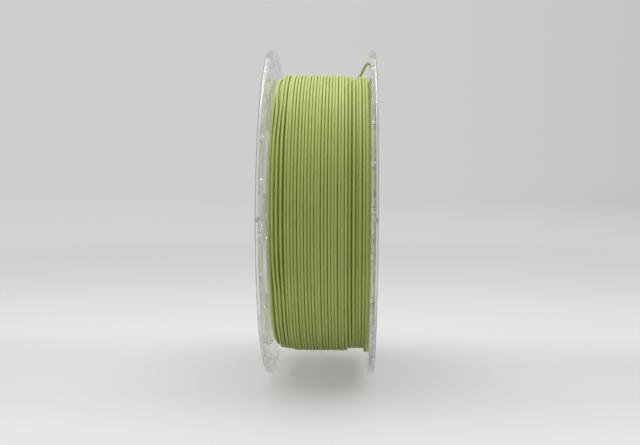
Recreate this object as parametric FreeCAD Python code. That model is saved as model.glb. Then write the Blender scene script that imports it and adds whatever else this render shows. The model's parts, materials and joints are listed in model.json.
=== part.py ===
import FreeCAD, Part
import math
import os
from FreeCAD import Vector

# A clear plastic filament spool, full of 1.75 mm filament.
# Millimetres. The spool's axis runs along X and the spool stands on its two rims at Z = 0.
# Everything is built round the axis and raised to its standing height when it is saved.

# The reel
outer_diameter = 200.0
overall_width = 64.0
rim_thickness = 3.8
rim_band = 4.5
web_thickness = 2.4
rim_edge_round = 0.9
bore_diameter = 53.0
collar_wall = 3.0
collar_length = 14.0

# The barrel that the filament is wound on
barrel_diameter = 88.0
barrel_wall = 2.5
fit_clearance = 0.3

# The ring and the spokes that stiffen each flange's outer face
ring_width = 3.0
spoke_count = 6
spoke_width = 2.6

# Windows between the spokes
window_gap_from_barrel = 12.0
window_width = 18.0
window_angle = 42.0

# Small holes near the rim, where the loose end is tucked in
anchor_hole_count = 24
anchor_hole_diameter = 4.4
anchor_hole_inset = 7.4
anchor_hole_first_angle = 3.0

# The spigot that centres a flange in the barrel, and its snap fingers
spigot_wall = 2.4
spigot_length = 6.0
finger_count = 6
finger_width = 9.0
finger_length = 13.0
finger_slit = 1.4
nib_height = 1.2
nib_length = 3.0
gusset_thickness = 2.0
gusset_length = 7.0

# The filament
filament_diameter = 1.75
winding_diameter = 169.0
layer_step = 1.52
edge_groove_depth = 0.9
soft_clearance = 0.3

# The turns that show. The last layer stops short of the right flange, where the layer below shows.
outer_turns = 17
under_turns = 5
turn_pitch = 2.25
outer_first_turn_inset = 3.675
outer_layer_angle = 30.0
under_turns_angle = 150.0
dive_bend_radius = 3.6
dive_room = 0.3
left_shoulder_width = 2.5

# The filament's first end, hooked through the barrel
start_hole_diameter = 3.2
start_hole_offset = -8.0
start_hole_angle = 90.0
start_pocket_depth = 2.0
start_bend_radius = 4.0
start_tail_length = 10.0

# How the shapes are made
cut_margin = 1.0
merge_depth = 0.5
same_radius = 0.001
bend_share = 0.45
half_turn = 180
points_per_turn = 48

# The loose end's route from the last turn to its anchor hole, about the spool's centre.
# X runs towards the right flange, Y to the back and Z up.
free_end_route = [
    (13.732, 40.295, 73.297),
    (13.756, 35.53, 76.05),
    (15.70, 29.60, 79.60),
    (18.60, 23.80, 82.90),
    (21.40, 18.55, 86.00),
    (23.50, 14.15, 88.65),
    (25.00, 10.95, 90.65),
    (26.10, 8.50, 92.10),
    (27.10, 6.60, 92.95),
    (28.15, 5.45, 93.10),
    (29.20, 5.00, 92.70),
    (30.20, 4.80, 91.95),
]

# Worked out from the sizes above
outer_radius = outer_diameter / 2
face_out = overall_width / 2
face_in = face_out - rim_thickness
web_out = face_in + web_thickness
barrel_outer = barrel_diameter / 2
barrel_inner = barrel_outer - barrel_wall
bore_radius = bore_diameter / 2
collar_outer = bore_radius + collar_wall
spigot_outer = barrel_inner - fit_clearance
spigot_inner = spigot_outer - spigot_wall
filament_radius = filament_diameter / 2
winding_radius = winding_diameter / 2
outer_layer_radius = winding_radius - filament_radius
under_layer_radius = outer_layer_radius - layer_step
outer_layer_seat = outer_layer_radius - filament_radius - soft_clearance
under_layer_seat = under_layer_radius - filament_radius - soft_clearance
pack_inner = barrel_outer + soft_clearance
pack_side = face_in - soft_clearance
outer_layer_start = outer_first_turn_inset - face_in
outer_layer_end = outer_layer_start + outer_turns * turn_pitch
under_turns_end = pack_side - filament_radius
under_turns_start = under_turns_end - under_turns * turn_pitch
layer_edge = under_turns_start - filament_radius - soft_clearance
anchor_hole_ring = outer_radius - anchor_hole_inset


def about_axis(x, radius, angle):
    """A point at this angle behind the top of the spool, in degrees."""
    turn = math.radians(angle)
    return Vector(x, radius * math.sin(turn), radius * math.cos(turn))


def ring(inner, outer, x_from, x_to):
    """A plain ring round the spool's axis."""
    low, high = min(x_from, x_to), max(x_from, x_to)
    axis = Vector(1, 0, 0)
    solid = Part.makeCylinder(outer, high - low, Vector(low, 0, 0), axis)
    return solid.cut(Part.makeCylinder(inner, high - low, Vector(low, 0, 0), axis))


def block(x_from, x_to, radius_from, radius_to, width, angle):
    """A straight block that points away from the axis at this angle."""
    low, high = min(x_from, x_to), max(x_from, x_to)
    box = Part.makeBox(high - low, width, radius_to - radius_from, Vector(low, -width / 2, radius_from))
    box.rotate(Vector(0, 0, 0), Vector(1, 0, 0), -angle)
    return box


def revolved(profile):
    """A solid of revolution round the spool's axis from (x, radius) corners."""
    corners = [Vector(x, 0, radius) for x, radius in profile]
    face = Part.Face(Part.makePolygon(corners + [corners[0]]))
    return face.revolve(Vector(0, 0, 0), Vector(1, 0, 0), 360)


def around(count, first_angle):
    return [first_angle + 360.0 * i / count for i in range(count)]


# Tubes

def arc_from(start, tangent, end):
    """The arc that leaves start along tangent and arrives at end, with the direction that it ends in."""
    chord = end - start
    across = chord - tangent * chord.dot(tangent)
    normal = Vector(across).normalize()
    radius = chord.dot(chord) / (2 * chord.dot(normal))
    centre = start + normal * radius
    middle = (start + end) * 0.5 - centre
    middle.normalize()
    spoke = (end - centre) * (1 / radius)
    leaving = normal * spoke.dot(tangent) - tangent * spoke.dot(normal)
    return Part.Arc(start, centre + middle * radius, end).toShape(), leaving, radius


def biarc(start, start_way, end, end_way):
    """Two arcs that leave start along start_way, meet smoothly and arrive at end along end_way."""
    step = end - start
    ways = start_way + end_way
    spread = 2 * (1 - start_way.dot(end_way))
    reach = (-step.dot(ways) + math.sqrt(step.dot(ways) ** 2 + spread * step.dot(step))) / spread
    meeting = (start + start_way * reach + end - end_way * reach) * 0.5
    first, middle_way, first_radius = arc_from(start, start_way, meeting)
    second, last_way, second_radius = arc_from(meeting, middle_way, end)
    return [first, second], min(first_radius, second_radius)


def tube(edges, diameter):
    """A round tube along a smooth chain of edges."""
    path = Part.Wire(edges)
    start = edges[0].valueAt(edges[0].FirstParameter)
    way = edges[0].tangentAt(edges[0].FirstParameter)
    section = Part.Wire(Part.Circle(start, way, diameter / 2).toShape())
    pipe = Part.BRepOffsetAPI.MakePipeShell(path)
    pipe.add(section)
    pipe.build()
    pipe.makeSolid()
    solid = pipe.shape()
    share = solid.Volume / (math.pi * diameter ** 2 / 4 * path.Length)
    print(f"tube of {path.Length:.1f} mm: volume over section times length {share:.4f}")
    return solid


def route_edges(points):
    """Straight runs joined by tangent arcs, each as large as its two runs allow."""
    points = [Vector(*p) for p in points]
    runs = [(b - a).Length for a, b in zip(points, points[1:])]
    edges = []
    at = points[0]
    for before, corner, after, run_in, run_out in zip(points, points[1:], points[2:], runs, runs[1:]):
        way_in = (corner - before).normalize()
        way_out = (after - corner).normalize()
        cut = bend_share * min(run_in, run_out)
        arc, _, radius = arc_from(corner - way_in * cut, way_in, corner + way_out * cut)
        edges.append(Part.LineSegment(at, corner - way_in * cut).toShape())
        edges.append(arc)
        at = corner + way_out * cut
        print(f"bend of {radius:.1f} mm after a run of {run_in:.1f} mm")
    edges.append(Part.LineSegment(at, points[-1]).toShape())
    return edges


def turn_point(x_start, radius, angle, turned):
    """A point on the turns after this many degrees, the way that the strand runs there and the way out."""
    now = angle - turned
    point = about_axis(x_start + turn_pitch * turned / 360, radius, now)
    outward = about_axis(0, 1, now)
    along = Vector(turn_pitch / (2 * math.pi * radius), 0, 0) + about_axis(0, 1, now - 90)
    return point, along.normalize(), outward


def turns(x_start, count, radius, angle):
    """The chain of arcs that winds count turns towards the right flange."""
    edges = []
    for step in range(2 * count):
        start, start_way, _ = turn_point(x_start, radius, angle, half_turn * step)
        end, end_way, _ = turn_point(x_start, radius, angle, half_turn * (step + 1))
        arcs, tightest = biarc(start, start_way, end, end_way)
        edges += arcs
    print(f"{count} turns, tightest arc {tightest:.1f} mm")
    return edges


def dive_in(point, along, outward):
    """The strand comes straight up out of the layer below and bends over into its turn."""
    foot = point - (outward + along) * dive_bend_radius
    bend, _, _ = arc_from(foot, outward, point)
    return [Part.LineSegment(foot - outward * filament_diameter, foot).toShape(), bend]


def dive_out(point, along, outward):
    """The strand bends down out of its turn and runs straight into the layer below."""
    foot = point - (outward - along) * dive_bend_radius
    bend, _, _ = arc_from(point, along, foot)
    return [bend, Part.LineSegment(foot, foot - outward * filament_diameter).toShape()]


def dive_pocket(x, radius, angle, side):
    """Room in the packed layers for a strand that dives, before (-1) or after (1) its turn."""
    reach = dive_bend_radius + filament_radius + dive_room
    wide = filament_diameter + 2 * dive_room
    floor = radius - dive_bend_radius - filament_diameter
    low = min(0.0, -side * reach)
    box = Part.makeBox(wide, reach, winding_radius - floor, Vector(x - wide / 2, low, floor))
    box.rotate(Vector(0, 0, 0), Vector(1, 0, 0), -angle)
    return box


def least_gap(edges, diameter, count):
    """The least gap between neighbouring turns, measured on points along the path."""
    path = Part.Wire(edges)
    points = path.discretize(Number=count * points_per_turn + 1)
    best = min((a - b).Length for a, b in zip(points, points[points_per_turn:]))
    return best - diameter


# The reel

def window():
    """A curved slot with round ends through a flange's web."""
    low = barrel_outer + window_gap_from_barrel
    high = low + window_width
    middle = (low + high) / 2
    end = window_angle / 2 - math.degrees(window_width / 2 / middle)
    tip = window_angle / 2
    x = face_in - cut_margin
    edges = [
        Part.Arc(about_axis(x, high, -end), about_axis(x, high, 0), about_axis(x, high, end)),
        Part.Arc(about_axis(x, high, end), about_axis(x, middle, tip), about_axis(x, low, end)),
        Part.Arc(about_axis(x, low, end), about_axis(x, low, 0), about_axis(x, low, -end)),
        Part.Arc(about_axis(x, low, -end), about_axis(x, middle, -tip), about_axis(x, high, -end)),
    ]
    face = Part.Face(Part.Wire([edge.toShape() for edge in edges]))
    return face.extrude(Vector(rim_thickness + 2 * cut_margin, 0, 0))


def right_flange():
    """The disc, from its hub out to its rim, with everything that is moulded on it."""
    solid = revolved([
        (face_in - (collar_length - rim_thickness), bore_radius),
        (face_in - (collar_length - rim_thickness), collar_outer),
        (face_in, collar_outer),
        (face_in, outer_radius),
        (face_out, outer_radius),
        (face_out, outer_radius - rim_band),
        (web_out, outer_radius - rim_band),
        (web_out, barrel_outer + ring_width / 2),
        (face_out, barrel_outer + ring_width / 2),
        (face_out, barrel_outer - ring_width / 2),
        (web_out, barrel_outer - ring_width / 2),
        (web_out, collar_outer + ring_width / 2),
        (face_out, collar_outer + ring_width / 2),
        (face_out, bore_radius),
    ])
    spoke_step = 360 / spoke_count
    spokes = [block(web_out, face_out, barrel_outer, outer_radius - rim_band / 2, spoke_width, angle)
              for angle in around(spoke_count, spoke_step / 2)]
    spigot = ring(spigot_inner, spigot_outer, face_in - spigot_length, face_in)
    slits = [block(face_in - spigot_length, face_in, spigot_inner - cut_margin, spigot_outer + cut_margin,
                   finger_width + 2 * finger_slit, angle) for angle in around(finger_count, 0)]
    gussets = [block(face_in - gusset_length, face_in, collar_outer - merge_depth,
                     spigot_inner + merge_depth, gusset_thickness, angle)
               for angle in around(finger_count, spoke_step / 2)]
    finger_ring = ring(spigot_inner, spigot_outer, face_in - finger_length, face_in)
    nib_ring = revolved([
        (face_in - finger_length, spigot_outer - merge_depth),
        (face_in - finger_length, spigot_outer),
        (face_in - finger_length + nib_length, spigot_outer + nib_height),
        (face_in - finger_length + nib_length, spigot_outer - merge_depth),
    ])
    wedge = [block(face_in - finger_length, face_in, spigot_inner - cut_margin, barrel_outer,
                   finger_width, angle) for angle in around(finger_count, 0)]
    fingers = finger_ring.fuse(nib_ring).common(wedge[0].multiFuse(wedge[1:]))
    spigot = spigot.cut(slits[0].multiFuse(slits[1:]))
    solid = solid.multiFuse(spokes + gussets + [spigot, fingers])
    windows = []
    for angle in around(spoke_count, 0):
        slot = window()
        slot.rotate(Vector(0, 0, 0), Vector(1, 0, 0), -angle)
        windows.append(slot)
    holes = [Part.makeCylinder(anchor_hole_diameter / 2, rim_thickness + 2 * cut_margin,
                               about_axis(face_in - cut_margin, anchor_hole_ring, angle), Vector(1, 0, 0))
             for angle in around(anchor_hole_count, anchor_hole_first_angle)]
    solid = solid.cut(windows[0].multiFuse(windows[1:] + holes)).removeSplitter()
    rim_edges = [edge for edge in solid.Edges if edge.Curve.TypeId == "Part::GeomCircle"
                 and abs(edge.Curve.Radius - outer_radius) < same_radius]
    return solid.makeFillet(rim_edge_round, rim_edges)


def left_flange():
    """The same moulding as the right flange, turned round."""
    solid = right_flange()
    solid.rotate(Vector(0, 0, 0), Vector(0, 0, 1), 180)
    return solid


def winding_barrel():
    """The tube between the flanges, with slots for the snap fingers' nibs and holes for the strand's start."""
    solid = ring(barrel_inner, barrel_outer, -face_in, face_in)
    low = face_in - finger_length - fit_clearance
    high = face_in - finger_length + nib_length + fit_clearance
    cuts = []
    for angle in around(finger_count, 0):
        for side in (-1, 1):
            cuts.append(block(side * low, side * high, barrel_inner - cut_margin, barrel_outer + cut_margin,
                              finger_width + 2 * fit_clearance, side * angle))
    for side in (-1, 1):
        start = about_axis(side * start_hole_offset, barrel_inner - cut_margin, start_hole_angle)
        cuts.append(Part.makeCylinder(start_hole_diameter / 2, barrel_wall + 2 * cut_margin, start,
                                      about_axis(0, 1, start_hole_angle)))
    return solid.cut(cuts[0].multiFuse(cuts[1:])).removeSplitter()


# The filament

def layer_edges(side):
    """The packed layers' side, where each layer's edge turn shows through the flange as a ring."""
    count = round((under_layer_seat - pack_inner) / layer_step)
    step = (under_layer_seat - pack_inner) / count
    corners = [(side * (pack_side - edge_groove_depth), pack_inner)]
    for layer in range(count):
        corners.append((side * pack_side, pack_inner + (layer + 0.5) * step))
        corners.append((side * (pack_side - edge_groove_depth), pack_inner + (layer + 1) * step))
    return corners


def filament_inner_layers():
    """The packed layers under the turns that show, as one body with a ring for each layer on its sides."""
    left_edge = -pack_side + left_shoulder_width
    solid = revolved(layer_edges(-1) + [
        (left_edge, under_layer_seat),
        (left_edge, outer_layer_seat),
        (layer_edge, outer_layer_seat),
        (layer_edge, under_layer_seat),
    ] + layer_edges(1)[::-1])
    pocket_floor = about_axis(start_hole_offset, pack_inner - cut_margin, start_hole_angle)
    start_pocket = Part.makeCylinder(start_hole_diameter / 2, start_pocket_depth + cut_margin, pocket_floor,
                                     about_axis(0, 1, start_hole_angle))
    pockets = [
        dive_pocket(outer_layer_start, outer_layer_radius, outer_layer_angle, -1),
        dive_pocket(under_turns_start, under_layer_radius, under_turns_angle, -1),
        dive_pocket(under_turns_end, under_layer_radius, under_turns_angle, 1),
        start_pocket,
    ]
    return solid.cut(pockets[0].multiFuse(pockets[1:]))


def filament_outer_layer():
    """The last layer, one strand that winds towards the right flange, up to where the loose end begins."""
    chain = turns(outer_layer_start, outer_turns, outer_layer_radius, outer_layer_angle)
    print(f"outer layer, least gap between turns {least_gap(chain, filament_diameter, outer_turns):.3f} mm")
    last, along, _ = turn_point(outer_layer_start, outer_layer_radius, outer_layer_angle, 360 * outer_turns)
    tail = Part.LineSegment(last, last + along * filament_diameter).toShape()
    start = dive_in(*turn_point(outer_layer_start, outer_layer_radius, outer_layer_angle, 0))
    return tube(start + chain + [tail], filament_diameter)


def filament_under_turns():
    """The turns of the layer below that show beside the right flange."""
    chain = turns(under_turns_start, under_turns, under_layer_radius, under_turns_angle)
    print(f"under turns, least gap between turns {least_gap(chain, filament_diameter, under_turns):.3f} mm")
    start = dive_in(*turn_point(under_turns_start, under_layer_radius, under_turns_angle, 0))
    end = dive_out(*turn_point(under_turns_start, under_layer_radius, under_turns_angle, 360 * under_turns))
    return tube(start + chain + end, filament_diameter)


def filament_free_end():
    """The loose end, from the last turn into an anchor hole of the right flange."""
    return tube(route_edges(free_end_route), filament_diameter)


def filament_start_end():
    """The first end, which comes through the barrel and is bent over inside it."""
    inward = about_axis(0, 1, start_hole_angle) * -1
    top = about_axis(start_hole_offset, pack_inner + start_pocket_depth, start_hole_angle)
    bend_start = about_axis(start_hole_offset, barrel_inner - filament_diameter, start_hole_angle)
    bend_end = bend_start + inward * start_bend_radius + Vector(start_bend_radius, 0, 0)
    bend, _, _ = arc_from(bend_start, inward, bend_end)
    tail = Part.LineSegment(bend_end, bend_end + Vector(start_tail_length, 0, 0)).toShape()
    return tube([Part.LineSegment(top, bend_start).toShape(), bend, tail], filament_diameter)


pieces = {
    "left_flange": left_flange(),
    "right_flange": right_flange(),
    "winding_barrel": winding_barrel(),
    "filament_start_end": filament_start_end(),
    "filament_inner_layers": filament_inner_layers(),
    "filament_under_turns": filament_under_turns(),
    "filament_outer_layer": filament_outer_layer(),
    "filament_free_end": filament_free_end(),
}

os.makedirs("parts", exist_ok=True)
for name, shape in pieces.items():
    shape.translate(Vector(0, 0, outer_radius))
    shape.exportStep(f"parts/{name}.step")
    print(f"{name}: {len(shape.Solids)} solid, valid {shape.isValid()}, {shape.Volume / 1000:.1f} cm3")
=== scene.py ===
# %% [markdown]
# A clear plastic reel, wound full of matte green printer filament, stands on its two rims.
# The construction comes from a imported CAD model, which is loaded first and never changed.
# Everything here is finish: finer meshes over the same sizes, real strands, clear plastic and studio light.
# Blender works in metres. The reel is easier to think of in millimetres about its own centre,
# so the shapes are worked out that way, and one function carries them into the model's frame.

# %% Load the model and keep its box
import json
import math
import random

import bmesh
import bpy
import numpy as np
from mathutils import Matrix, Vector


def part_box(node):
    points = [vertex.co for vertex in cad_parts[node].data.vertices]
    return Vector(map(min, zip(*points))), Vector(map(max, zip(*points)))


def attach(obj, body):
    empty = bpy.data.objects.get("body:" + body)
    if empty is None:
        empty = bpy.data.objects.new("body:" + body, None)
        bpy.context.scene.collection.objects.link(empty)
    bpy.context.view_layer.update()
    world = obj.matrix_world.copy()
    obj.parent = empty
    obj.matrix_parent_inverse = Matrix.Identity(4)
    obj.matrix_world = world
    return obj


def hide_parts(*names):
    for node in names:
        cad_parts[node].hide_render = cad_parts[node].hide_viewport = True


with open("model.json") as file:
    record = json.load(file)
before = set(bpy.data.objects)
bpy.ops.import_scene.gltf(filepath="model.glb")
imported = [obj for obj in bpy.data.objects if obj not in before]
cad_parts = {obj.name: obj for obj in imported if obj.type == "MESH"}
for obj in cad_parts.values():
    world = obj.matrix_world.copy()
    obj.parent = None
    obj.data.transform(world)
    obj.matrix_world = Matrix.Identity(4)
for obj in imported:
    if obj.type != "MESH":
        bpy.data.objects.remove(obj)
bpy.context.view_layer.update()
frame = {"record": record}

# %% [markdown]
# Sizes that the model already knows are read from it, so the two can't drift apart.
# The rest repeat the model's own named sizes, in millimetres.

# %% Sizes
MM = 0.001

flange_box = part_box("right_flange")
barrel_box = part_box("winding_barrel")
winding_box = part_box("filament_outer_layer")
hub_bore = next(mount for mount in frame["record"]["mounts"] if mount["name"] == "hub_bore")

centre_height = hub_bore["pos_m"][2] / MM
outer_radius = (flange_box[1].z - flange_box[0].z) / 2 / MM
face_out = flange_box[1].x / MM
face_in = barrel_box[1].x / MM
barrel_outer = (barrel_box[1].z - barrel_box[0].z) / 2 / MM
bore_radius = hub_bore["dims"]["r_mm"]
winding_radius = winding_box[1].z / MM - centre_height

strand_diameter = 1.75
strand_radius = strand_diameter / 2
print(f"reel {2 * outer_radius:.1f} across, {2 * face_out:.1f} wide, winding {2 * winding_radius:.1f}")


def about_axis(x, radius, angle):
    """Points in millimetres about the reel's centre, at an angle in degrees behind its top."""
    turn = np.radians(angle)
    return np.stack(np.broadcast_arrays(x, radius * np.sin(turn), radius * np.cos(turn)), axis=-1)


def to_frame(points):
    """Millimetres about the reel's centre become metres in the model's frame."""
    return (np.asarray(points, float) + (0, 0, centre_height)) * MM


# %% [markdown]
# The camera stands where the photographer's stood: just over half a metre away, a little right of the
# reel and a little above its centre, turned so that the centre falls on the same spot of the picture.

# %% Camera
def new_object(name, data):
    """An object that holds the data, linked into the scene."""
    thing = bpy.data.objects.new(name, data)
    bpy.context.collection.objects.link(thing)
    return thing


picture_width = 640
sensor_width = 36
focal_pixels = 895
camera_distance = 560
camera_yaw = math.radians(1.68)
camera_rise = math.radians(2.5)
centre_right = 2.2
centre_down = -10.4
camera_roll = math.radians(0.28)

level = camera_distance * math.cos(camera_rise)
camera_place = Vector(to_frame([level * math.sin(camera_yaw), -level * math.cos(camera_yaw),
                                camera_distance * math.sin(camera_rise)]))
reel_centre = Vector(to_frame([0, 0, 0]))
aim = (reel_centre - camera_place).to_track_quat("-Z", "Y").to_matrix()
pan = Matrix.Rotation(math.atan(centre_right / focal_pixels), 3, "Y")
tilt = Matrix.Rotation(math.atan(centre_down / focal_pixels), 3, "X")
roll = Matrix.Rotation(camera_roll, 3, "Z")

camera_data = bpy.data.cameras.new("camera")
camera_data.sensor_width = sensor_width
camera_data.lens = focal_pixels / picture_width * sensor_width
camera = new_object("camera", camera_data)
camera.matrix_world = Matrix.Translation(camera_place) @ (aim @ pan @ tilt @ roll).to_4x4()
bpy.context.scene.camera = camera
print("camera at", [round(value, 4) for value in camera_place], "lens", round(camera_data.lens, 2))

# %% [markdown]
# The loose end is the only free stretch of strand. It leaves the last turn behind the top of the winding,
# crosses the turns of the layer below, rises and hooks over into a small hole near the right rim.
# A printer's strand is stiff, so the line is one smooth spline with few points.

# %% The loose end
loose_end_route = [
    (16.30, 40.30, 73.30),
    (16.35, 35.50, 76.10),
    (18.10, 29.50, 79.70),
    (20.70, 23.70, 83.00),
    (23.10, 18.30, 86.05),
    (24.70, 14.00, 88.65),
    (25.80, 10.80, 90.65),
    (26.70, 8.30, 92.15),
    (27.60, 6.40, 93.00),
    (28.45, 5.35, 93.15),
    (29.35, 4.95, 92.75),
    (30.25, 4.80, 92.00),
]


def spline_tube(name, route):
    """A round strand along one smooth spline whose control points are the route's.

    Blender counts each point's radius as metres in a curve's box, so the radius is the strand's and the
    bevel is 1.
    """
    curve = bpy.data.curves.new(name, "CURVE")
    curve.dimensions = "3D"
    curve.bevel_depth = 1
    curve.bevel_resolution = 6
    curve.resolution_u = 16
    curve.use_fill_caps = True
    spline = curve.splines.new("NURBS")
    spline.points.add(len(route) - 1)
    for point, place in zip(spline.points, to_frame(route)):
        point.co = (*place, 1)
        point.radius = strand_radius * MM
    spline.order_u = 3
    spline.use_endpoint_u = True
    return new_object(name, curve)


loose_end = spline_tube("loose_end", loose_end_route)
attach(loose_end, "root")
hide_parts("filament_free_end")
tuple(to_frame(loose_end_route[0]))
print("loose end:", len(loose_end_route), "control points")

# %% [markdown]
# Shader maths reads best as plain arithmetic. Signal wraps
# a node's output, and the operators add the Math nodes.
# Recipe holds one material's node tree. Its add method makes any other node: settings first, then sockets.

# %% Helpers for materials
class Signal:
    """One output of a node. Arithmetic on it adds Math nodes to the same tree."""

    def __init__(self, recipe, socket):
        self.recipe = recipe
        self.socket = socket

    def maths(self, operation, *values):
        return self.recipe.add("Math", {"operation": operation}, dict(enumerate(values)))

    def __add__(self, other):
        return self.maths("ADD", self, other)

    def __sub__(self, other):
        return self.maths("SUBTRACT", self, other)

    def __rsub__(self, other):
        return self.maths("SUBTRACT", other, self)

    def __mul__(self, other):
        return self.maths("MULTIPLY", self, other)

    __radd__ = __add__
    __rmul__ = __mul__


class Recipe:
    """The node tree of one material or of the world."""

    def __init__(self, owner):
        owner.use_nodes = True
        self.tree = owner.node_tree
        self.tree.nodes.clear()

    def add(self, kind, settings=None, sockets=None, output=0):
        """Add a node, and give back one of its outputs as a Signal."""
        node = self.tree.nodes.new("ShaderNode" + kind)
        for name, value in (settings or {}).items():
            if name == "stops":
                self.set_stops(node.color_ramp, value)
            else:
                setattr(node, name, value)
        for name, value in (sockets or {}).items():
            if isinstance(value, Signal):
                self.tree.links.new(value.socket, node.inputs[name])
            else:
                node.inputs[name].default_value = value
        return Signal(self, node.outputs[output]) if node.outputs else node

    def set_stops(self, ramp, stops):
        """Each stop is a place from 0 to 1 and a grey level or a colour."""
        while len(ramp.elements) < len(stops):
            ramp.elements.new(1)
        for element, (place, level) in zip(ramp.elements, stops):
            element.position = place
            element.color = (*level, 1) if isinstance(level, tuple) else (level, level, level, 1)


def new_material(name):
    """A fresh material and the recipe that fills it."""
    material = bpy.data.materials.new(name)
    return material, Recipe(material)


# %% [markdown]
# The strand is a matte, pastel olive green. Under a matte skin the colour hardly varies:
# slightly lighter and darker stretches, and a fine grain that breaks up the highlight.
# Where turns lie side by side, shade is painted into the grooves: the crest that faces outwards stays
# pale and the flanks go to a deep, full green, the painted shade of a groove, from which light gets out
# only after several bounces from green to green. One dot product tells the two apart: how far the surface
# faces away from the axis, or at the edge turns how far it faces along the axis.

# %% Materials of the strand, with painted groove shade
# The deep green is painted shade for the flanks in the grooves between turns.
groove_shade_green = (0.25, 0.315, 0.025, 1)
pale_greens = [(0.35, (0.485, 0.555, 0.150)), (0.65, (0.512, 0.586, 0.160))]
flank_facing = 0.3
crest_facing = 0.92
strand_smoothest, strand_varies = 0.46, 0.14


def filament_material(name, painted_shade, crest_faces):
    """Green strand with painted groove shade: its flanks go to a deep green, and its crests face outwards or
    sideways.
    """
    material, recipe = new_material(name)
    place = recipe.add("TexCoord", output=3)
    stretches = recipe.add("TexNoise", sockets={"Vector": place, "Scale": 60, "Detail": 2})
    grain = recipe.add("TexNoise", sockets={"Vector": place, "Scale": 3000, "Detail": 2})
    normal = recipe.add("NewGeometry", output="Normal")
    if crest_faces == "outwards":
        reel_middle = (0, 0, centre_height * MM)
        from_centre = recipe.add("VectorMath", {"operation": "SUBTRACT"}, {0: place, 1: reel_middle})
        from_axis = recipe.add("VectorMath", {"operation": "MULTIPLY"}, {0: from_centre, 1: (0, 1, 1)})
        crest_way = recipe.add("VectorMath", {"operation": "NORMALIZE"}, {0: from_axis})
    else:
        crest_way = (1, 0, 0)
    facing = recipe.add("VectorMath", {"operation": "DOT_PRODUCT"}, {0: normal, 1: crest_way},
                        output="Value")
    # Painted groove shade: the mix goes from the pale green on the crest to the deep green on the flanks.
    unshaded_share = recipe.add("MapRange", {"interpolation_type": "SMOOTHSTEP"},
                       {"Value": facing.maths("ABSOLUTE", facing), "From Min": flank_facing,
                        "From Max": crest_facing, "To Min": 1 - painted_shade, "To Max": 1})
    pale = recipe.add("ValToRGB", {"stops": pale_greens}, {"Fac": stretches})
    colour = recipe.add("Mix", {"data_type": "RGBA"}, {"Factor": unshaded_share, "A": groove_shade_green, "B": pale},
                        output=2)
    bump = recipe.add("Bump", sockets={"Height": grain, "Strength": 0.12, "Distance": 0.00005})
    shader = recipe.add("BsdfPrincipled", sockets={
        "Base Color": colour, "Roughness": strand_smoothest + strand_varies * grain, "IOR": 1.46,
        "Specular IOR Level": 0.35, "Normal": bump})
    recipe.add("OutputMaterial", sockets={"Surface": shader})
    return material


filament = filament_material("matte_filament", 1, "outwards")
edge_filament = filament_material("matte_filament_edge", 1, "sideways")
free_filament = filament_material("matte_filament_free", 0, "outwards")
loose_end.data.materials.append(free_filament)
print("strand materials:", filament.name, edge_filament.name, free_filament.name)

# %% [markdown]
# The flanges and the barrel are clear moulded plastic: polished, rubbed a little dull in places,
# with a faint waviness where the melt flowed. Thin walls like these bend the view behind them
# very little, so part of the light goes straight on and the rest is refracted. Along a face that
# is seen edge-on nothing goes straight on: there the plastic mirrors what stands beside it.
# Clear plastic lets the lamps through, so a ray that only
# asks for shadow goes straight on and loses only a little.

# %% Material of the clear mouldings
refracted_share = 0.55
turns_mirror_from = 0.9
all_mirror_from = 0.96
polished, rubbed_by = 0.02, 0.04


def clear_material():
    """Polished clear plastic, whose Alpha is the share of the light that is refracted."""
    material, recipe = new_material("clear_plastic")
    place = recipe.add("TexCoord", output=3)
    flow = recipe.add("TexNoise", sockets={"Vector": place, "Scale": 45, "Detail": 2})
    rubbing = recipe.add("TexNoise", sockets={"Vector": place, "Scale": 700, "Detail": 4})
    bump = recipe.add("Bump", sockets={"Height": flow, "Strength": 0.02, "Distance": 0.0004})
    edge_on = recipe.add("LayerWeight", sockets={"Blend": 0.5}, output="Facing")
    refracted = recipe.add("MapRange", {"interpolation_type": "SMOOTHSTEP"},
                           {"Value": edge_on, "From Min": turns_mirror_from, "From Max": all_mirror_from,
                            "To Min": refracted_share, "To Max": 1})
    shader = recipe.add("BsdfPrincipled", sockets={
        "Base Color": (0.975, 0.985, 0.98, 1), "Roughness": polished + rubbed_by * rubbing, "IOR": 1.45,
        "Transmission Weight": 1, "Alpha": refracted, "Normal": bump})
    passing = recipe.add("BsdfTransparent", sockets={"Color": (0.84, 0.86, 0.83, 1)})
    shadow_ray = recipe.add("LightPath", output="Is Shadow Ray")
    both = recipe.add("MixShader", sockets={0: shadow_ray, 1: shader, 2: passing})
    recipe.add("OutputMaterial", sockets={"Surface": both})
    return material


clear = clear_material()
print("clear material:", clear.name)

# %% [markdown]
# Every mesh comes from points in millimetres about the
# reel's centre, and one function places them in the frame.
# Another gives a piece its material, shades it smooth up
# to its sharp edges, and makes it ride on the one body.

# %% Helpers for meshes
sharp_from = 30


def mesh_object(name, points, faces):
    """A mesh in the frame from points in millimetres about the reel's centre."""
    mesh = bpy.data.meshes.new(name)
    mesh.from_pydata(to_frame(points).tolist(), [], [list(face) for face in faces])
    mesh.update()
    return new_object(name, mesh)


def finish_piece(piece, material, replaced):
    """Give a piece its material, its smooth shading and its body, and hide the CAD node that it stands for.
    """
    piece.data.materials.clear()
    piece.data.materials.append(material)
    piece.data.shade_smooth()
    piece.data.set_sharp_from_angle(angle=math.radians(sharp_from))
    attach(piece, "root")
    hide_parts(replaced)
    piece.data.calc_loop_triangles()
    print(f"{piece.name}: {len(piece.data.loop_triangles)} triangles")


# %% [markdown]
# A strand's mesh is a row of rings of points along its path, joined by quads.
# Every long strand goes round the axis, so its path is only an x and a radius for how far it has turned.

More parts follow.
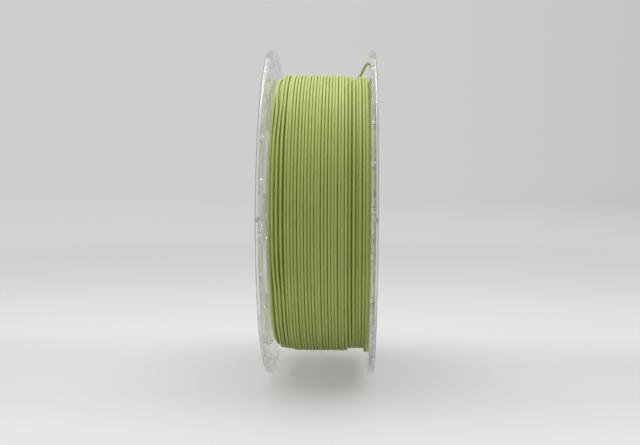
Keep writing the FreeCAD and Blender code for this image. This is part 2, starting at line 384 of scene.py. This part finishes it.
# %% Helpers for strands
def tube_faces(rings, sides, offset=0):
    """Quads between rings of points, each ring closed on itself, and a cap at each end."""
    faces = []
    for ring in range(rings - 1):
        low, high = offset + ring * sides, offset + (ring + 1) * sides
        for side in range(sides):
            after = (side + 1) % sides
            faces.append((low + side, low + after, high + after, high + side))
    last = offset + (rings - 1) * sides
    faces.append(tuple(range(offset, offset + sides)))
    faces.append(tuple(range(last, last + sides))[::-1])
    return faces


def strand_mesh(coils, steps_per_turn=180, sides=12):
    """Tubes round the axis. A coil gives its first angle, how far it turns, and its x and radius there."""
    points, faces = [], []
    for first_angle, turned, place in coils:
        count = max(2, int(abs(turned) / 360 * steps_per_turn)) + 1
        turning = np.linspace(0, turned, count)
        x, radius = place(turning)
        angle = first_angle - turning
        centre = about_axis(x, radius, angle)
        outward = about_axis(0 * angle, 1, angle)
        across = np.array([1.0, 0, 0])
        start = len(points)
        around = 2 * np.pi * np.arange(sides) / sides
        ring = outward[:, None, :] * np.cos(around)[None, :, None] + across * np.sin(around)[None, :, None]
        points.extend((centre[:, None, :] + strand_radius * ring).reshape(-1, 3).tolist())
        faces.extend(tube_faces(count, sides, start))
    return points, faces


# %% [markdown]
# The winding is one strand laid in about twenty-six layers, back and forth between the flanges. Each
# turn sits in the groove of the layer below, so a layer adds less than the strand's own thickness.
# Only three parts of it can be seen: the last turns on the outside, the edge
# turns of every layer through the clear flanges, and the first layer through
# the clear barrel. Those are real tubes, and a plain core fills the rest.

# %% Sizes of the winding
layer_count = 26
under_layer = layer_count - 2
barrel_gap = 0.1
top_layer_radius = winding_radius - strand_radius
first_layer_radius = barrel_outer + strand_radius + barrel_gap
layer_step = (top_layer_radius - first_layer_radius) / (layer_count - 1)
turn_pitch = 1.81
wall_gap = 0.15
wall_x = face_in - strand_radius - wall_gap
climb_degrees = 28
print(f"{layer_count} layers, each {layer_step:.2f} mm above the one below")


def layer_radius(layer):
    """The radius of a layer's turns. The one on the barrel is layer 0."""
    return first_layer_radius + layer * layer_step


# %% [markdown]
# Turns lie a hair apart, and each wanders a little, which is what makes some grooves darker than others.
# Where the tension has gone they also hang down under the reel.
# Angles run from the reel's top over its back, so 180 is the bottom and 270 the side that faces the camera.

# %% How a turn strays from its place
def ease(value):
    """0 before 0, 1 after 1, and a smooth slope between."""
    value = np.clip(value, 0, 1)
    return value * value * (3 - 2 * value)


def wander(turning, amount, seed):
    """A slow random drift in millimetres. It changes from turn to turn more than along one."""
    source = random.Random(seed)
    drift = 0 * turning
    for waves_per_turn in (0.23, 0.43, 0.61, 0.87):
        phase = source.uniform(0, 6.28)
        weight = source.uniform(0.4, 1)
        drift = drift + np.sin(np.radians(turning) * waves_per_turn + phase) * weight
    return drift * amount / 2


def hang(angle, width=52):
    """How much a slack turn hangs down at an angle: 1 at the reel's bottom, 0 from its sides up."""
    from_bottom = (np.asarray(angle) % 360) - 180
    return np.exp(-(from_bottom / width) ** 2)


# %% [markdown]
# The last layer starts at the left, where the strand climbs
# out of the layer below on the near side of the top.
# Before that climb, its last turns in the layer below show beside the left flange, sunk between the wall
# and the turns under them. The layer stops short of the right flange, where the loose end leaves it.
# The first turns lie wide apart in front, wander more and are pulled up
# a little at the bottom. The others hang down there, as slack turns do.

# %% The last layer
loose_start = loose_end_route[0]
last_angle = math.degrees(math.atan2(loose_start[1], loose_start[2]))
last_x = loose_start[0]
climb_angle = -25
top_turns = 21
top_turned = 360 * top_turns + (climb_angle - last_angle) % 360
top_start_x = last_x - turn_pitch * top_turned / 360
end_turned = 90
print(f"last layer: {top_turns} turns from x {top_start_x:.1f} to {last_x:.1f}")

spread_by = 1.4
spread_turned = 1500
spread_everywhere = 0.25
front_from, front_whole_from = 238, 260
front_whole_to, front_to = 296, 320

sunk_turned = 560
sunk_below = 0.85
sunk_radius = layer_radius(under_layer) - sunk_below
sunk_from_wall = 2.0
sunk_step = 1.1
sunk_step_before = 60

bottom_sag = 1.2
pulled_up = 1 / 3
tight_until = -25.0
slack_from = -11.0
sideways_wander = 0.11
outward_wander = 0.10
wanders_more_until = -8.0
wander_blend = 10


def top_layer_place(turning):
    """First the sunk turns at the left edge, then the climb, then the last layer itself."""
    from_climb = turning - sunk_turned
    climbed = ease(from_climb / climb_degrees)
    angle = (climb_angle - from_climb) % 360

    sunk_x = -wall_x + sunk_from_wall - sunk_step * ease((-from_climb - sunk_step_before) / 360)
    top_x = top_start_x + turn_pitch * from_climb / 360
    looser = 1 + ease((wanders_more_until - top_x) / wander_blend)
    in_front = (ease((angle - front_from) / (front_whole_from - front_from))
                * (1 - ease((angle - front_whole_to) / (front_to - front_whole_to))))
    spread_here = spread_everywhere + (1 - spread_everywhere) * in_front
    spread = spread_by * spread_here * (1 - ease(from_climb / spread_turned))
    top_x = top_x + wander(turning, sideways_wander, seed=3) * looser - spread
    x = sunk_x * (1 - climbed) + top_x * climbed

    slack = (1 + pulled_up) * ease((x - tight_until) / (slack_from - tight_until)) - pulled_up
    sag = bottom_sag * slack * hang(angle)
    top_radius = top_layer_radius + sag + wander(turning, outward_wander, seed=5) * looser
    radius = sunk_radius * (1 - climbed) + top_radius * climbed

    to_go = sunk_turned + top_turned - turning
    fade = ease(to_go / end_turned)
    end_x = last_x - turn_pitch * to_go / 360
    return x * fade + end_x * (1 - fade), radius * fade + top_layer_radius * (1 - fade)


coils = [(climb_angle + sunk_turned, sunk_turned + top_turned, top_layer_place)]
top_layer = mesh_object("top_layer_turns", *strand_mesh(coils))
finish_piece(top_layer, filament, "filament_outer_layer")

# %% [markdown]
# Beside the right flange the layer below shows. Its strand comes up at the wall and winds back to the left.
# These turns are less tidy, as the last turns of a reel are when the tension goes.
# Each keeps its place for most of a turn and steps over to the next behind the reel.
# In front the fourth has sunk between its neighbours, and the first stands off the
# wall. Below they hang together against the wall, and there the first has sprung out.

# %% The turns of the layer below
under_angle = 150
under_first_turn = 360
under_places = [26.5, 24.75, 22.75, 21.15, 19.25, 16.8, 15.05]
under_lift = 0.5
under_wander = 0.1
under_drop = 0.8
sunk_turn = 3
sunk_by = 0.75
sprung_by = 2.5
sprung_width = 36
step_over = 60
step_over_early = 15
half_turn = 180


def under_turns_place(turning):
    """One hidden turn, the climb at the wall, then the turns back towards the left."""
    after = turning - under_first_turn
    climbed = ease(after / climb_degrees)
    in_front = under_places[0] + 0 * turning
    below = wall_x - turn_pitch * ease((-after - half_turn) / half_turn)
    sunk = 0
    for turn in range(1, len(under_places)):
        stepped = ease((after - 360 * turn + step_over_early) / step_over)
        in_front = in_front + (under_places[turn] - under_places[turn - 1]) * stepped
        below = below - turn_pitch * stepped
        if turn == sunk_turn:
            sunk = stepped
        if turn == sunk_turn + 1:
            sunk = sunk - stepped
    first_turn_left = 1 - ease((after - 360) / step_over)
    angle = under_angle - after
    hanging = hang(angle)
    stands_off = climbed * (1 - hanging)
    x = below * (1 - stands_off) + in_front * stands_off
    drop = under_drop * hanging
    lift = under_lift - sunk_by * sunk * (1 - hanging) + drop + wander(turning, under_wander, seed=12)
    sprung = sprung_by * hang(angle, sprung_width) * first_turn_left
    climbed_radius = layer_radius(under_layer) + lift + sprung
    return x, layer_radius(under_layer - 1) * (1 - climbed) + climbed_radius * climbed


under_turned = under_first_turn + 360 * len(under_places)
coils = [(under_angle + under_first_turn, under_turned, under_turns_place)]
under_turns = mesh_object("under_layer_turns", *strand_mesh(coils))
finish_piece(under_turns, filament, "filament_under_turns")

# %% [markdown]
# Through a clear flange each layer shows its edge turn as a ring. The rings
# aren't closed: at the wall the strand climbs to the next layer and goes
# back, so they come in pairs joined by a climb, and the climb's place drifts.

# %% The edge turns against both flanges
first_climb = 140
climb_drift = 31
climb_scatter = 12
edge_steps, edge_sides = 150, 10
chance = random.Random(7)


def edge_pair(side, layer):
    """The strand reaches the wall in one layer, climbs to the next and leaves again."""
    first_angle = first_climb + climb_drift * layer + chance.uniform(-climb_scatter, climb_scatter)
    low, high = layer_radius(layer), layer_radius(layer + 1)

    def place(turning):
        after = turning - 360
        climbed = ease(after / climb_degrees)
        x = side * (wall_x - turn_pitch * np.abs(after) / 360)
        return x, low * (1 - climbed) + high * climbed

    return first_angle, 2 * 360, place


left_pairs = [edge_pair(-1, layer) for layer in range(0, under_layer - 1, 2)]
right_pairs = [edge_pair(1, layer) for layer in range(1, under_layer - 2, 2)]
for name, pairs in (("left_edge_turns", left_pairs), ("right_edge_turns", right_pairs)):
    edge_turns = mesh_object(name, *strand_mesh(pairs, edge_steps, edge_sides))
    finish_piece(edge_turns, edge_filament, "filament_inner_layers")

# %% [markdown]
# The first layer lies on the clear barrel and is seen from inside the bore.
# It was wound under tension against a smooth tube, so it is one plain helix.

# %% The first layer
first_layer_steps, first_layer_sides = 120, 8
start_angle = 90


def first_layer_place(turning):
    """One plain helix on the barrel, from the right wall to the left."""
    return wall_x - turn_pitch * turning / 360, first_layer_radius + 0 * turning


first_layer_turns = int(2 * wall_x / turn_pitch)
coils = [(start_angle, 360 * first_layer_turns, first_layer_place)]
first_layer = mesh_object("first_layer_turns", *strand_mesh(coils, first_layer_steps, first_layer_sides))
finish_piece(first_layer, filament, "filament_inner_layers")

# %% [markdown]
# Between the first layer and the last ones sits the core, a plain ring a little smaller
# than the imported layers, so that nothing shows between the strands but more green.
# It is an outline turned round the axis, as the reel's own round parts are later on.

# %% The core
def lathe(outline, segments):
    """Points and faces of a closed (x, radius) outline turned round the axis."""
    outline = np.asarray(outline)
    count = len(outline)
    points = []
    for angle in np.arange(segments) * 360 / segments:
        points.extend(about_axis(outline[:, 0], outline[:, 1], angle).tolist())
    faces = []
    for segment in range(segments):
        here, there = segment * count, (segment + 1) % segments * count
        for i in range(count):
            j = (i + 1) % count
            faces.append((here + i, there + i, there + j, here + j))
    return points, faces


core_segments = 180
core_in = 0.6
core_up = 0.4
core_over = 0.5
core_side = wall_x - core_in
core_low = first_layer_radius + core_up
core_high = layer_radius(under_layer - 1) + core_over
core_outline = [
    (-core_side, core_low),
    (-core_side, core_high),
    (core_side, core_high),
    (core_side, core_low),
]
core = mesh_object("packed_core", *lathe(core_outline, core_segments))
finish_piece(core, filament, "filament_inner_layers")

# %% [markdown]
# The strand's first end comes through a hole in the barrel
# and is bent over inside, which stops it from pulling out.

# %% The first end
start_x = -8.0
start_above = 2.3
start_below = 0.5
barrel_wall = 2.5
hook_radius = 4.0
hook_bend = 0.4
hook_straight = 2
hook_tail = 10.0
barrel_inner = barrel_outer - barrel_wall
hook_y = barrel_inner - strand_diameter
first_end_route = [
    (start_x, barrel_outer + start_above, 0),
    (start_x, barrel_outer - start_below, 0),
    (start_x, hook_y - (1 - hook_bend) * hook_radius, 0),
    (start_x + hook_bend * hook_radius, hook_y - hook_radius, 0),
    (start_x + hook_radius + hook_straight, hook_y - hook_radius, 0),
    (start_x + hook_radius + hook_tail, hook_y - hook_radius, 0),
]
first_end = spline_tube("first_end", first_end_route)
first_end.data.materials.append(free_filament)
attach(first_end, "root")
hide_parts("filament_start_end")
print("first end:", len(first_end_route), "control points")

# %% [markdown]
# Clear plastic shows every edge as a bright or dark line, so the moulded edges need their real small radii.
# The round parts are turned from an outline with rounded corners. The openings are
# cut with tools that flare at both faces, which rounds the edges that they leave.

# %% Helpers for rounded outlines and their cutters
def rounded(corners, steps=5):
    """A closed outline from (x, radius, fillet) corners, each rounded to its own fillet."""
    points = []
    for before, corner, after in zip(corners[-1:] + corners[:-1], corners, corners[1:] + corners[:1]):
        place = Vector(corner[:2])
        to_before = (Vector(before[:2]) - place).normalized()
        to_after = (Vector(after[:2]) - place).normalized()
        half = to_before.angle(to_after) / 2
        reach = corner[2] / math.tan(half)
        centre = place + (to_before + to_after).normalized() * corner[2] / math.sin(half)
        start = place + to_before * reach - centre
        end = place + to_after * reach - centre
        for step in range(steps + 1):
            points.append(tuple(centre + start.lerp(end, step / steps).normalized() * corner[2]))
    return points


def circle(radius, steps):
    """Points evenly round a circle, from its top."""
    turns = np.linspace(0, 2 * math.pi, steps, endpoint=False)
    return [(radius * math.sin(turn), radius * math.cos(turn)) for turn in turns]


def flared_tool(outline, face_low, face_high, fillet, margin=1.0, steps=5, least=0.02):
    """A closed cutter through a plate. outline(offset) gives its (y, z) points, wider by the offset."""
    stations = [(face_low - margin, fillet)]
    for step in range(steps + 1):
        depth = fillet * (least + (1 - least) * step / steps)
        stations.append((face_low + depth, fillet - math.sqrt(fillet ** 2 - (fillet - depth) ** 2)))
    stations += [(face_low + face_high - x, offset) for x, offset in reversed(stations)]
    points = []
    for x, offset in stations:
        points.extend((x, y, z) for y, z in outline(offset))
    return points, tube_faces(len(stations), len(points) // len(stations))


def joined(parts):
    """Several closed meshes as one list of points and one list of faces."""
    points, faces = [], []
    for part_points, part_faces in parts:
        start = len(points)
        points.extend(part_points)
        faces.extend(tuple(start + index for index in face) for face in part_faces)
    return points, faces


# %% [markdown]
# A moulding is joined and cut with booleans. The manifold
# solver makes them, because every body here is closed.
# The result replaces the piece's own mesh at once, so that no modifier is left on a piece.

# %% Helpers for joining and cutting
def closed_object(name, points, faces):
    """A closed mesh in the frame with its faces turned outwards, island by island."""
    body = mesh_object(name, points, faces)
    work = bmesh.new()
    work.from_mesh(body.data)
    bmesh.ops.recalc_face_normals(work, faces=work.faces)
    work.to_mesh(body.data)
    work.free()
    return body


def keep_result(piece):
    """Make what the modifiers give the piece's own mesh."""
    evaluated = piece.evaluated_get(bpy.context.evaluated_depsgraph_get())
    result = bpy.data.meshes.new_from_object(evaluated)
    piece.modifiers.clear()
    piece.data = result


def combine(base, name, parts, operation):
    """Cut some parts from the base or join them on."""
    tool = closed_object(name, *joined(parts))
    modifier = base.modifiers.new("combine", "BOOLEAN")
    modifier.solver = "MANIFOLD"
    modifier.operation = operation
    modifier.object = tool
    keep_result(base)
    bpy.data.objects.remove(tool)
    print(f"{name}, {operation.lower()}: {len(base.data.polygons)} faces")


# %% [markdown]
# A flange is one clear moulding: hub collar, thin web, raised rim, a ring and six spokes
# outside, windows and small holes through the web, and a spigot with snap fingers inside.
# Its outline from the bore to the rim is listed corner by corner, each with the radius that rounds it.

# %% Sizes and outline of a flange
rim_band = 4.5
web_thickness = 2.4
rim_edge_round = 0.9
edge_round = 0.4
collar_foot_round = 0.6
small_round = 0.3
collar_wall = 3.0
collar_length = 14.0
ring_width = 3.0
spoke_count = 6
spoke_width = 2.6
window_gap_from_barrel = 12.0
window_width = 18.0
window_angle = 42.0
anchor_hole_count = 24
anchor_hole_diameter = 4.4
anchor_hole_inset = 7.4
anchor_hole_first_angle = 3.0
web_out = face_in + web_thickness
collar_outer = bore_radius + collar_wall
collar_end = face_out - collar_length

flange_corners = [
    (collar_end, bore_radius, edge_round),
    (collar_end, collar_outer, edge_round),
    (face_in, collar_outer, collar_foot_round),
    (face_in, outer_radius, rim_edge_round),
    (face_out, outer_radius, rim_edge_round),
    (face_out, outer_radius - rim_band, edge_round),
    (web_out, outer_radius - rim_band, edge_round),
    (web_out, barrel_outer + ring_width / 2, edge_round),
    (face_out, barrel_outer + ring_width / 2, edge_round),
    (face_out, barrel_outer - ring_width / 2, edge_round),
    (web_out, barrel_outer - ring_width / 2, edge_round),
    (web_out, collar_outer + ring_width / 2, edge_round),
    (face_out, collar_outer + ring_width / 2, edge_round),
    (face_out, bore_radius, edge_round),
]
print(f"flange: {len(flange_corners)} corners, windows {window_width:.0f} mm wide")

# %% [markdown]
# A flange has two kinds of opening: windows, which are curved slots with round ends, and small round holes.
# Each outline can be asked for a little wider, and that is how a cutter flares at the faces.

# %% Outlines of the openings
def window_outline(offset, steps=24):
    """A curved slot with round ends, centred on the top, as (y, z) points."""
    low = barrel_outer + window_gap_from_barrel
    high = low + window_width
    middle = (low + high) / 2
    half_width = window_width / 2 + offset
    end = math.radians(window_angle / 2) - math.asin(window_width / 2 / middle)

    def side(radius, angles):
        return [(radius * math.sin(angle), radius * math.cos(angle)) for angle in angles]

    def round_end(turns, at):
        end_points = []
        for turn in turns[1:-1]:
            y, z = half_width * math.sin(turn), middle + half_width * math.cos(turn)
            end_points.append((y * math.cos(at) + z * math.sin(at), z * math.cos(at) - y * math.sin(at)))
        return end_points

    return (side(middle + half_width, np.linspace(-end, end, steps))
            + round_end(np.linspace(0, math.pi, steps), end)
            + side(middle - half_width, np.linspace(end, -end, steps))
            + round_end(np.linspace(math.pi, 2 * math.pi, steps), -end))


def anchor_outline(offset, steps=32):
    """A small round hole near the rim, centred on the top."""
    ring = outer_radius - anchor_hole_inset
    return [(y, ring + z) for y, z in circle(anchor_hole_diameter / 2 + offset, steps)]


# %% [markdown]
# Everything on a flange repeats round the axis, so a part is made once at the top and turned to its places.
# Spokes and gussets are bars with rounded edges, and the spigot's pieces are stretches of a ring.

# %% Parts that repeat round the axis
def turned(part, angle):
    """A part's points, turned to an angle behind the top."""
    points, faces = part
    points = np.asarray(points)
    turn = math.radians(angle)
    y = points[:, 1] * math.cos(turn) + points[:, 2] * math.sin(turn)
    z = points[:, 2] * math.cos(turn) - points[:, 1] * math.sin(turn)
    return np.stack([points[:, 0], y, z], axis=1).tolist(), faces


def around(part, count, first_angle):
    """Copies of a part, evenly round the axis, as one mesh."""
    return joined([turned(part, first_angle + 360 * i / count) for i in range(count)])


def bar(x_low, x_high, radius_low, radius_high, width, fillet, steps=5):
    """A straight bar that points away from the axis, with its outer long edges rounded."""
    half = width / 2
    section = [(x_low, -half), (x_low, half)]
    for turn in np.linspace(0, math.pi / 2, steps):
        section.append((x_high - fillet + fillet * math.sin(turn), half - fillet + fillet * math.cos(turn)))
    for turn in np.linspace(math.pi / 2, 0, steps):
        section.append((x_high - fillet + fillet * math.sin(turn), -half + fillet - fillet * math.cos(turn)))
    points = [(x, y, radius) for radius in (radius_low, radius_high) for x, y in section]
    return points, tube_faces(2, len(section))


def arc_block(outline, angle_low, angle_high, steps):
    """A stretch of a ring: an (x, radius) outline carried from one angle to another."""
    outline = np.asarray(outline)
    points = []
    for angle in np.linspace(angle_low, angle_high, steps + 1):
        points.extend(about_axis(outline[:, 0], outline[:, 1], angle).tolist())
    return points, tube_faces(steps + 1, len(outline))


# %% [markdown]
# The spigot centres the flange in the barrel. Slits cut it into six snap fingers, each with
# a nib, and six plain stretches between them, and a small gusset stands behind each stretch.
# Every part reaches at least half a millimetre into its neighbours, so that they join without a seam.

# %% Spokes, snap fingers, spigot and gussets
spigot_wall = 2.4
fit_clearance = 0.3
spigot_length = 6.0
finger_count = 6
finger_width = 9.0
finger_length = 13.0
finger_slit = 1.4
nib_height = 1.2
nib_length = 3.0
gusset_thickness = 2.0
gusset_length = 7.0
root_depth = 0.5
root_round = 0.2
nib_foot_round = 0.15
nib_round = 0.2
spoke_below_rim = 0.02
round_steps = 3
spigot_outer = barrel_inner - fit_clearance
spigot_inner = spigot_outer - spigot_wall

finger_half = math.degrees(math.asin(finger_width / 2 / spigot_outer))
slit_half = math.degrees(math.asin((finger_width / 2 + finger_slit) / spigot_outer))
finger_outline = rounded([
    (face_in + root_depth, spigot_inner, root_round),
    (face_in + root_depth, spigot_outer, root_round),
    (face_in - finger_length + nib_length, spigot_outer, nib_foot_round),
    (face_in - finger_length + nib_length, spigot_outer + nib_height, nib_round),
    (face_in - finger_length, spigot_outer, small_round),
    (face_in - finger_length, spigot_inner, small_round),
], round_steps)
spigot_outline = rounded([
    (face_in + root_depth, spigot_inner, root_round),
    (face_in + root_depth, spigot_outer, root_round),
    (face_in - spigot_length, spigot_outer, small_round),
    (face_in - spigot_length, spigot_inner, small_round),
], round_steps)
finger = arc_block(finger_outline, -finger_half, finger_half, steps=12)
spigot = arc_block(spigot_outline, slit_half, 360 / finger_count - slit_half, steps=30)
gusset = bar(face_in - gusset_length, face_in + root_depth, collar_outer - root_depth,
             spigot_inner + root_depth, gusset_thickness, small_round)
spoke = bar(web_out - root_depth, face_out - spoke_below_rim, barrel_outer,
            outer_radius - rim_band / 2, spoke_width, edge_round)
print(f"fingers {2 * finger_half:.1f} degrees wide, slits out to {2 * slit_half:.1f} degrees")

# %% [markdown]
# Both flanges are the same moulding, so one mesh is made, copied and turned round.
# Flat faces next to rounded edges need weighted normals. Without them the smooth shading
# of the edge spills over the face, and clear plastic would bend the light there.

# %% The two flanges
def settle_normals(piece):
    """Let the large flat faces decide the normals along their edges."""
    modifier = piece.modifiers.new("weighted normals", "WEIGHTED_NORMAL")
    modifier.keep_sharp = True
    modifier.weight = 100
    keep_result(piece)


flange_segments = 360
right_flange = closed_object("clear_right_flange", *lathe(rounded(flange_corners), flange_segments))
additions = [
    around(spoke, spoke_count, 180 / spoke_count),
    around(finger, finger_count, 0),
    around(spigot, finger_count, 0),
]
combine(right_flange, "additions", additions, "UNION")
combine(right_flange, "gussets", [around(gusset, finger_count, 180 / finger_count)], "UNION")
window_tool = flared_tool(window_outline, face_in, web_out, edge_round)
anchor_tool = flared_tool(anchor_outline, face_in, web_out, edge_round)
openings = [
    around(window_tool, spoke_count, 0),
    around(anchor_tool, anchor_hole_count, anchor_hole_first_angle),
]
combine(right_flange, "openings", openings, "DIFFERENCE")

left_flange = right_flange.copy()
left_flange.name = "clear_left_flange"
left_flange.data = right_flange.data.copy()
left_flange.data.transform(Matrix.Rotation(math.pi, 4, "Z"))
bpy.context.collection.objects.link(left_flange)
for flange, node in ((right_flange, "right_flange"), (left_flange, "left_flange")):
    finish_piece(flange, clear, node)
    settle_normals(flange)

# %% [markdown]
# The barrel is a clear tube between the flanges. Slots near its ends take the fingers' nibs,
# and through one of two small holes comes the strand's first end. Its ends stand a hair
# clear of the flanges, so that light meets two surfaces there, as it does on the real reel.

# %% The barrel
end_gap = 0.05
start_hole_diameter = 3.2
start_hole_angle = 90
start_hole_sides = 24
barrel_segments = 240
cut_margin = 1
barrel_end = face_in - end_gap
barrel_outline = rounded([
    (-barrel_end, barrel_inner, small_round),
    (-barrel_end, barrel_outer, small_round),
    (barrel_end, barrel_outer, small_round),
    (barrel_end, barrel_inner, small_round),
], round_steps)
slot_low = face_in - finger_length - fit_clearance
slot_high = face_in - finger_length + nib_length + fit_clearance
slot_width = finger_width + 2 * fit_clearance
cut_low, cut_high = barrel_inner - cut_margin, barrel_outer + cut_margin
cuts = []
for low, high in ((slot_low, slot_high), (-slot_high, -slot_low)):
    slot_tool = bar(low, high, cut_low, cut_high, slot_width, small_round)
    cuts.append(around(slot_tool, finger_count, 0))
for side in (-1, 1):
    hole = [(side * start_x + x, y) for x, y in circle(start_hole_diameter / 2, start_hole_sides)]
    points = [(x, y, radius) for radius in (cut_low, cut_high) for x, y in hole]
    cuts.append(turned((points, tube_faces(2, start_hole_sides)), start_hole_angle))
barrel = closed_object("clear_barrel", *lathe(barrel_outline, barrel_segments))
combine(barrel, "barrel_cuts", cuts, "DIFFERENCE")
finish_piece(barrel, clear, "winding_barrel")
settle_normals(barrel)

# %% [markdown]
# The reel stands on a wide sheet of pale paper, lit from all sides, so its shadow is faint.
# Near the reel rather more than half of the paper's look is a matte surface, which catches the soft
# shadow. The rest is its plain colour, shown to the camera and to the rays that reach it through the clear
# plastic. Farther out the matte share would fall away from the lamp, so there the plain colour takes over.

# %% The paper
floor_radius = 60.0
floor_sides = 64
matte_out_to = 0.35
plain_from = 1.2
plain_share = 0.43
far_from = 4.0
floor_depth = 2.0
backdrop_greys = [(0.0, 0.61), (0.36, 0.625), (0.5, 0.615), (0.62, 0.575), (0.7, 0.52), (1.0, 0.5)]
paper_greys = [
    (0.30, 0.79), (0.43, 0.77), (0.465, 0.71), (0.51, 0.69), (0.53, 0.70),
    (0.56, 0.745), (0.60, 0.73), (0.66, 0.70), (0.74, 0.665), (0.94, 0.65),
]


def background_grey(recipe, direction):
    """The backdrop's grey, a little darker towards the right."""
    sideways = recipe.add("SeparateXYZ", sockets={0: direction}, output=0)
    return recipe.add("ValToRGB", {"stops": backdrop_greys}, {"Fac": sideways * 0.5 + 0.5})


def seen_directly(recipe):
    """1 for the camera's rays, also through or off the plastic, and 0 for light that falls on the reel."""
    camera = recipe.add("LightPath", output="Is Camera Ray")
    glossy = recipe.add("LightPath", output="Is Glossy Ray")
    through = recipe.add("LightPath", output="Is Transmission Ray")
    scattered = recipe.add("LightPath", output="Diffuse Depth")
    looked_at = camera.maths("MINIMUM", camera + glossy + through, 1)
    return looked_at * (1 - camera.maths("MINIMUM", scattered, 1))


def paper_material():
    """Pale paper. Its grey changes from its front to its back, and far out it is the backdrop's."""
    material, recipe = new_material("pale_paper")
    place = recipe.add("NewGeometry", output="Position")
    behind = recipe.add("SeparateXYZ", sockets={0: place}, output=1)
    distance = recipe.add("VectorMath", {"operation": "LENGTH"}, {0: place}, output="Value")
    along = recipe.add("MapRange", sockets={"Value": behind, "From Min": -floor_depth / 2,
                                            "From Max": floor_depth / 2})
    near = recipe.add("ValToRGB", {"stops": paper_greys}, {"Fac": along})
    far = background_grey(recipe, recipe.add("VectorMath", {"operation": "NORMALIZE"}, {0: place}))
    fade = recipe.add("MapRange", {"interpolation_type": "SMOOTHSTEP"},
                      {"Value": distance, "From Min": matte_out_to, "From Max": far_from})
    colour = recipe.add("Mix", {"data_type": "RGBA"}, {"Factor": fade, "A": near, "B": far}, output=2)
    matte = recipe.add("BsdfDiffuse", sockets={"Color": colour})
    shown = recipe.add("Emission", sockets={"Color": colour})
    outside = recipe.add("MapRange", {"interpolation_type": "SMOOTHSTEP"},
                         {"Value": distance, "From Min": matte_out_to, "From Max": plain_from,
                          "To Min": plain_share})
    both = recipe.add("MixShader", sockets={0: seen_directly(recipe) * outside, 1: matte, 2: shown})
    recipe.add("OutputMaterial", sockets={"Surface": both})
    return material


paper_points = [(x, y, 0) for y, x in circle(floor_radius, floor_sides)]
paper_mesh = bpy.data.meshes.new("paper")
paper_mesh.from_pydata(paper_points, [], [list(range(floor_sides))])
paper = new_object("paper", paper_mesh)
paper_mesh.materials.append(paper_material())
print(f"paper: {len(paper_greys)} greys from its front to its back")

# %% [markdown]
# What the camera sees around the paper and what lights the reel are two things: a plain pale grey,
# and a fill that comes from a white wall to the left, with little from the front and the right.
# Light that a strand gets through a flange isn't the
# view behind the flange, but the same fill as beside it.

# %% The studio around
front_fill = 0.08
left_fill = 1.4
right_fill = 0.1
fill_colour = (0.98, 0.99, 1, 1)
walls_from = 0.5

world = bpy.data.worlds.new("studio")
bpy.context.scene.world = world
sky = Recipe(world)
direction = sky.add("TexCoord", output=0)
seen_grey = sky.add("Background", sockets={"Color": background_grey(sky, direction), "Strength": 1})
across = sky.add("SeparateXYZ", sockets={0: direction}, output=0)
from_left = sky.add("MapRange", sockets={"Value": across, "From Min": -walls_from, "From Max": -1.0,
                                         "To Min": 0, "To Max": left_fill - front_fill})
from_right = sky.add("MapRange", sockets={"Value": across, "From Min": walls_from, "From Max": 1.0,
                                          "To Min": 0, "To Max": right_fill - front_fill})
strength = from_left + from_right + front_fill
fill = sky.add("Background", sockets={"Color": fill_colour, "Strength": strength})
studio_view = sky.add("MixShader", sockets={0: seen_directly(sky), 1: fill, 2: seen_grey})
sky.add("OutputWorld", sockets={"Surface": studio_view})
print(f"fill: {left_fill} from the left, {right_fill} from the right, {front_fill} from elsewhere")

# %% [markdown]
# One very large softbox hangs over the reel. The winding's top is bright, and its
# front falls off to half, because it is lit mostly by the pale paper below it.
# The lamp itself isn't seen through the clear plastic, where it would show as a hard white patch.

# %% The lamp
lamp_place = Vector((0, 0.12, 1.25))
lamp_target = Vector((0, 0, 0.1))
lamp_data = bpy.data.lights.new("overhead_softbox", "AREA")
lamp_data.shape = "RECTANGLE"
lamp_data.size = 1.45
lamp_data.size_y = 1.6
lamp_data.energy = 21.3
lamp = new_object("overhead_softbox", lamp_data)
lamp.location = lamp_place
lamp.rotation_euler = (lamp_target - lamp_place).to_track_quat("-Z", "Y").to_euler()
lamp.visible_transmission = False
bpy.context.scene.view_settings.view_transform = "Standard"
print(f"softbox {lamp_data.size:.2f} by {lamp_data.size_y:.2f} m, {lamp_data.energy:.1f} W")

# %% [markdown]
# Light runs along inside clear plastic and bounces many times before it gets out. With the usual few
# bounces it is given up for lost, and rims and spokes turn black, so the paths here may be longer.
# A single path that finds the lamp through the plastic would
# leave a white speck, so one path counts for no more than white.

# %% Light paths
paths = bpy.context.scene.cycles
longest_path = 32
bounces_in_plastic = 24
brightest_bounce = 0.9
paths.max_bounces = longest_path
paths.glossy_bounces = bounces_in_plastic
paths.transmission_bounces = bounces_in_plastic
paths.transparent_max_bounces = bounces_in_plastic
paths.sample_clamp_indirect = brightest_bounce
print("bounces", paths.max_bounces, "of which in plastic", paths.transmission_bounces)
